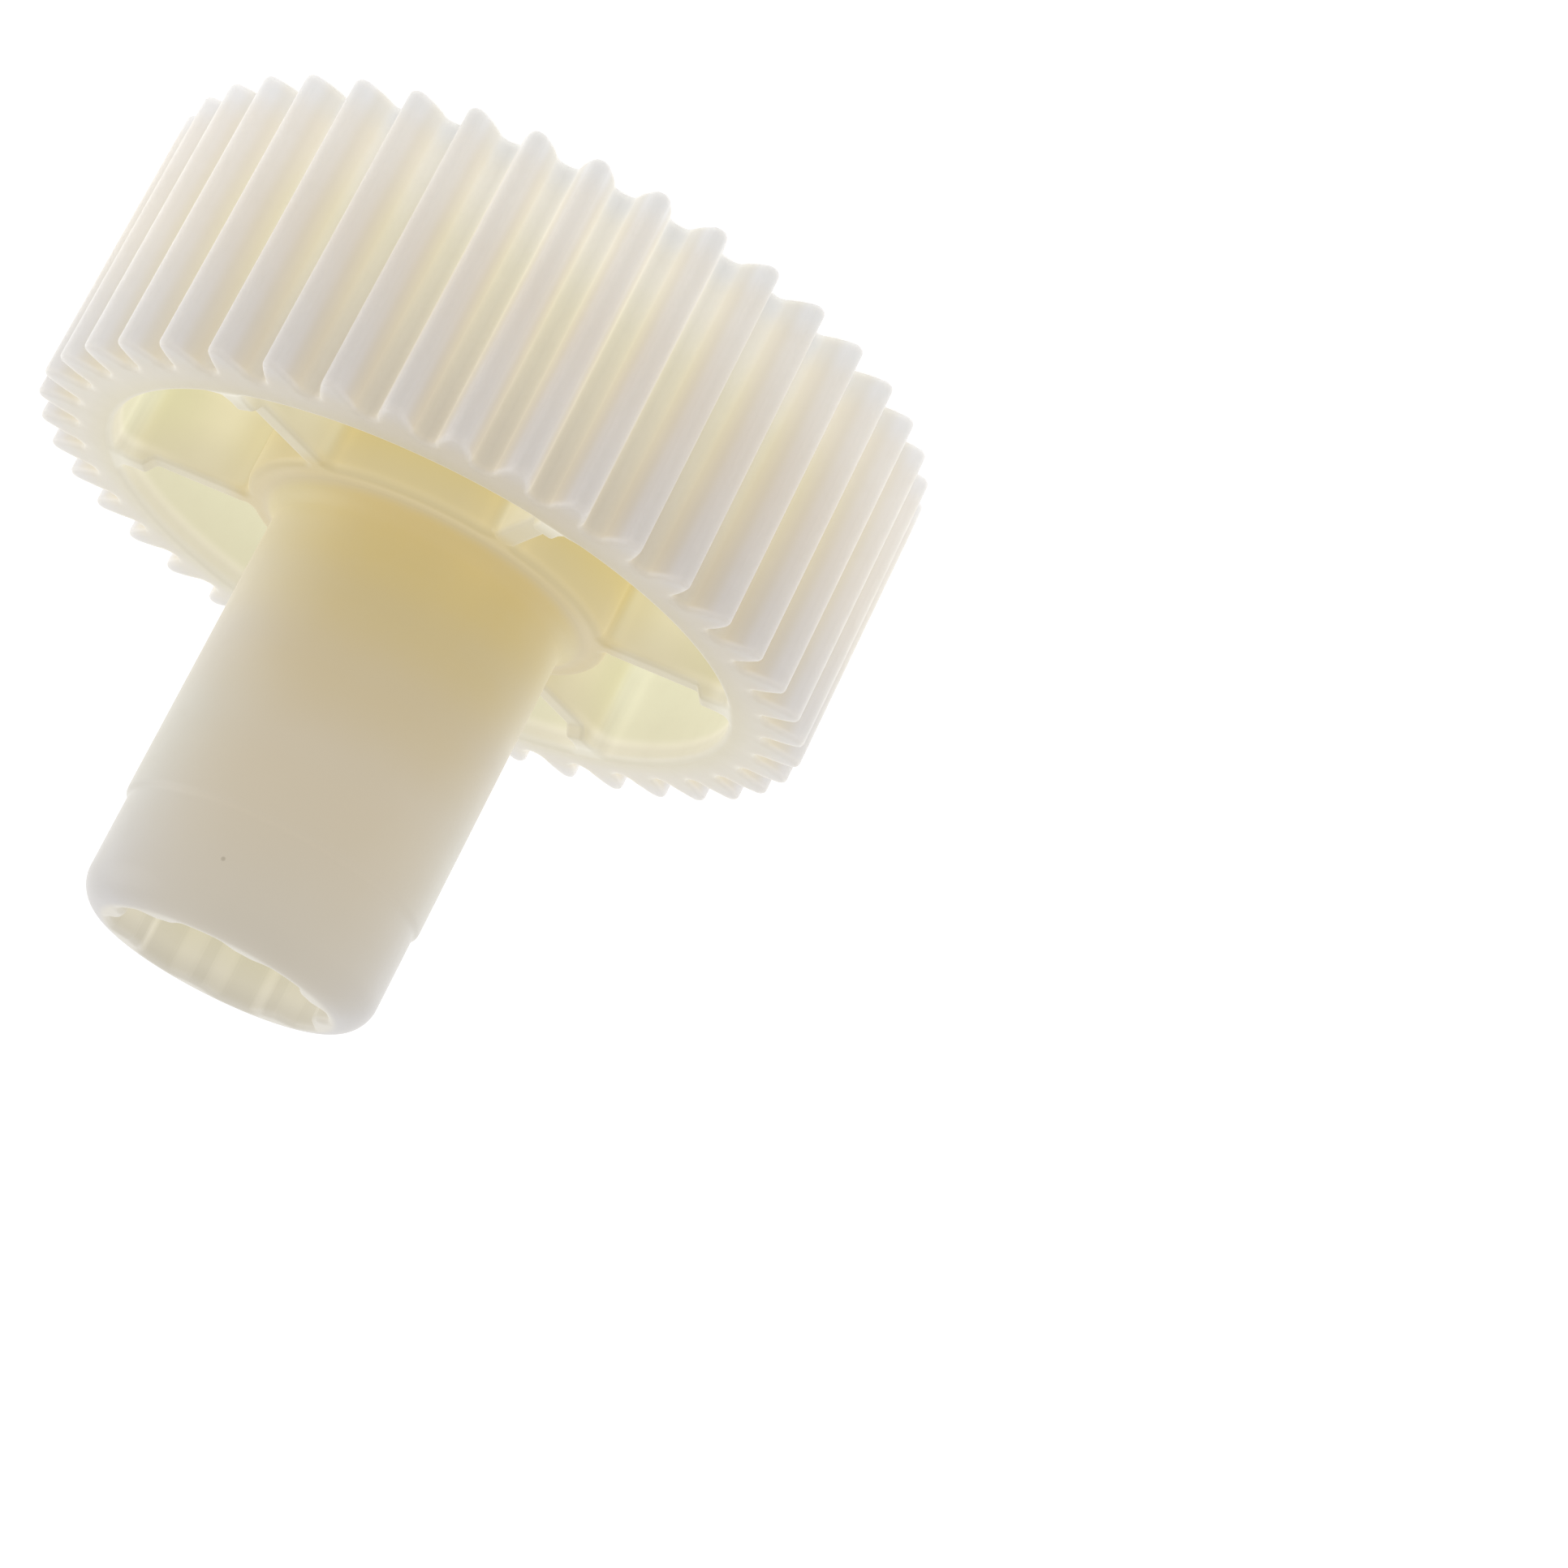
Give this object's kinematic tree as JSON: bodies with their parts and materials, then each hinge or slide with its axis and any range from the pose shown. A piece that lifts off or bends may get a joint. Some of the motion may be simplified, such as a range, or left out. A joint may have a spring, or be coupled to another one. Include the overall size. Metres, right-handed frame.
{
  "type": "spur gear",
  "caption": "Moulded plastic spur gear with a ribbed web, a blind axle bore and a long hollow sleeve ending in a splined drive socket.",
  "frame": {"origin": "centre of the axle bore's mouth, on the back face of the toothed wheel", "axes": "+Z along the gear axis, from the back face towards the open splined end of the sleeve; +X through the middle of a tooth, a rib on each side of the web and a socket groove"},
  "size_m": [0.0644, 0.0644, 0.0577],
  "materials": {
    "moulded_nylon": "satin natural nylon, slightly translucent, yellower where it is thick"
  },
  "bodies": {
    "root": {"toothed_rim": "moulded_nylon", "web_disc": "moulded_nylon", "back_boss": "moulded_nylon", "front_collar": "moulded_nylon", "sleeve_root": "moulded_nylon", "socket_floor": "moulded_nylon", "sleeve_journal": "moulded_nylon", "sleeve_nose": "moulded_nylon", "front_rib_1": "moulded_nylon", "front_rib_2": "moulded_nylon", "front_rib_3": "moulded_nylon", "front_rib_4": "moulded_nylon", "front_rib_5": "moulded_nylon", "front_rib_6": "moulded_nylon", "back_rib_1": "moulded_nylon", "back_rib_2": "moulded_nylon", "back_rib_3": "moulded_nylon", "back_rib_4": "moulded_nylon", "back_rib_5": "moulded_nylon", "back_rib_6": "moulded_nylon"}
  },
  "joints": []
}
